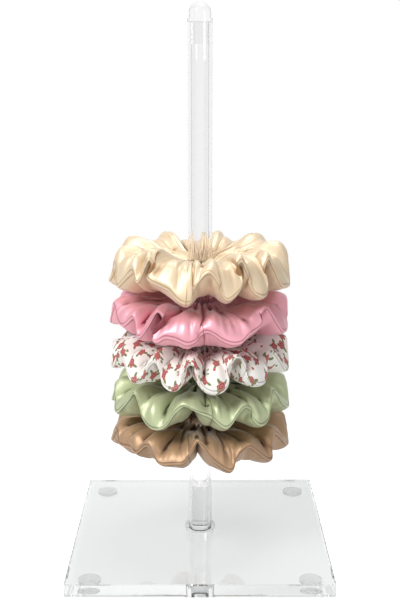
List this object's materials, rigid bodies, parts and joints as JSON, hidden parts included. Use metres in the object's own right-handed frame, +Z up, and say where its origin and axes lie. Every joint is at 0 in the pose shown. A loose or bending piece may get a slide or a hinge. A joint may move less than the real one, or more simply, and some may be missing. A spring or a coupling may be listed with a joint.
{
  "type": "hair tie holder",
  "caption": "Clear acrylic hair tie holder: an upright post on a square base plate with bumper feet, loaded with gathered fabric hair ties that slide off over its domed cap.",
  "frame": {"origin": "on the table, under the middle of the base plate, in the plane of the bumper feet's flats", "axes": "+Z up along the post, -Y towards the front, +X to the right seen from the front"},
  "size_m": [0.15, 0.15, 0.323],
  "materials": {
    "clear_acrylic": "clear, polished",
    "clear_rubber": "clear, slightly tacky polyurethane",
    "brown_satin": "satin weave, soft sheen",
    "green_satin": "satin weave, soft sheen",
    "floral_cotton": "plain weave, matt, printed with small roses and leaves",
    "pink_satin": "satin weave, soft sheen",
    "cream_satin": "satin weave, soft sheen",
    "knit_elastic": "flat knitted elastic, matt"
  },
  "bodies": {
    "stand": {"base_plate": "clear_acrylic", "foot_front_left": "clear_rubber", "foot_front_right": "clear_rubber", "foot_back_left": "clear_rubber", "foot_back_right": "clear_rubber", "foot_plug": "clear_acrylic", "foot_collar": "clear_acrylic", "post_tube": "clear_acrylic", "top_cap": "clear_acrylic"},
    "brown_tie": {"brown_sleeve": "brown_satin", "brown_elastic": "knit_elastic"},
    "green_tie": {"green_sleeve": "green_satin", "green_elastic": "knit_elastic"},
    "floral_tie": {"floral_sleeve": "floral_cotton", "floral_elastic": "knit_elastic"},
    "pink_tie": {"pink_sleeve": "pink_satin", "pink_elastic": "knit_elastic"},
    "cream_tie": {"cream_sleeve": "cream_satin", "cream_elastic": "knit_elastic"}
  },
  "joints": [
    {"name": "brown_lift", "type": "slide", "parent": "stand", "child": "brown_tie", "axis": [0, 0, 1], "range_m": [-0.05, 0.265]},
    {"name": "green_lift", "type": "slide", "parent": "brown_tie", "child": "green_tie", "axis": [0, 0, 1], "range_m": [0, 0.241]},
    {"name": "floral_lift", "type": "slide", "parent": "green_tie", "child": "floral_tie", "axis": [0, 0, 1], "range_m": [0, 0.216]},
    {"name": "pink_lift", "type": "slide", "parent": "floral_tie", "child": "pink_tie", "axis": [0, 0, 1], "range_m": [0, 0.192]},
    {"name": "cream_lift", "type": "slide", "parent": "pink_tie", "child": "cream_tie", "axis": [0, 0, 1], "range_m": [0, 0.167]}
  ]
}
